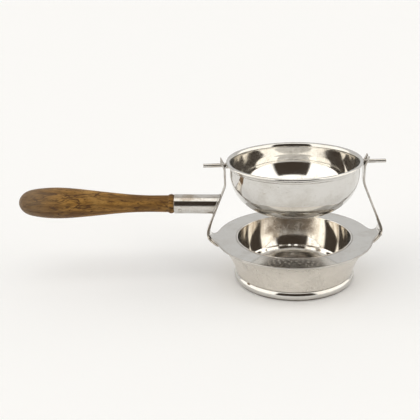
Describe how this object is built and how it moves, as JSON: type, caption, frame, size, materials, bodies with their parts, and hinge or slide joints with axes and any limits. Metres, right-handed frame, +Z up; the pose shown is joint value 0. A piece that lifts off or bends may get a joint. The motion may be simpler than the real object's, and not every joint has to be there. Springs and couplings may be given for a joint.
{
  "type": "tea strainer on drip stand",
  "caption": "Pierced tea strainer bowl hung by side pins in forked uprights over a drip basin with flared skirt, foot ring and turned wooden handle.",
  "frame": {"origin": "centre of the foot ring's underside", "axes": "+Z up along the bowl's axis, X along the side pins with the handle towards -X, +Y away from the front"},
  "size_m": [0.2059, 0.0886, 0.0709],
  "materials": {
    "silver_bowl": "worn polished silver plate",
    "silver_pins": "worn polished silver plate",
    "silver_stand": "softly worn silver plate with tarnish specks",
    "silver_basin": "polished silver plate with tea tarnish",
    "silver_uprights": "worn silver plate, dulled",
    "silver_ferrule": "worn polished silver plate",
    "turned_wood": "old turned fruitwood, waxed and worn"
  },
  "bodies": {
    "stand": {"flange_plate": "silver_stand", "drip_basin": "silver_basin", "skirt": "silver_stand", "foot_ring": "silver_stand", "upright_left": "silver_uprights", "upright_right": "silver_uprights", "handle_ferrule": "silver_ferrule", "ferrule_end_plate": "silver_ferrule", "ferrule_rivet": "silver_ferrule", "wooden_handle": "turned_wood"},
    "pins": {"pin_left": "silver_pins", "pin_right": "silver_pins"},
    "strainer": {"strainer_bowl": "silver_bowl", "rim_wire": "silver_bowl", "rim_band": "silver_bowl", "pin_boss_left": "silver_bowl", "pin_boss_right": "silver_bowl"}
  },
  "joints": [
    {"name": "lift_out", "type": "slide", "parent": "stand", "child": "pins", "axis": [0, 0, 1], "range_m": [0, 0.045]},
    {"name": "tilt", "type": "hinge", "parent": "pins", "child": "strainer", "pos_m": [0, 0, 0.0674], "axis": [1, 0, 0], "continuous": true}
  ]
}
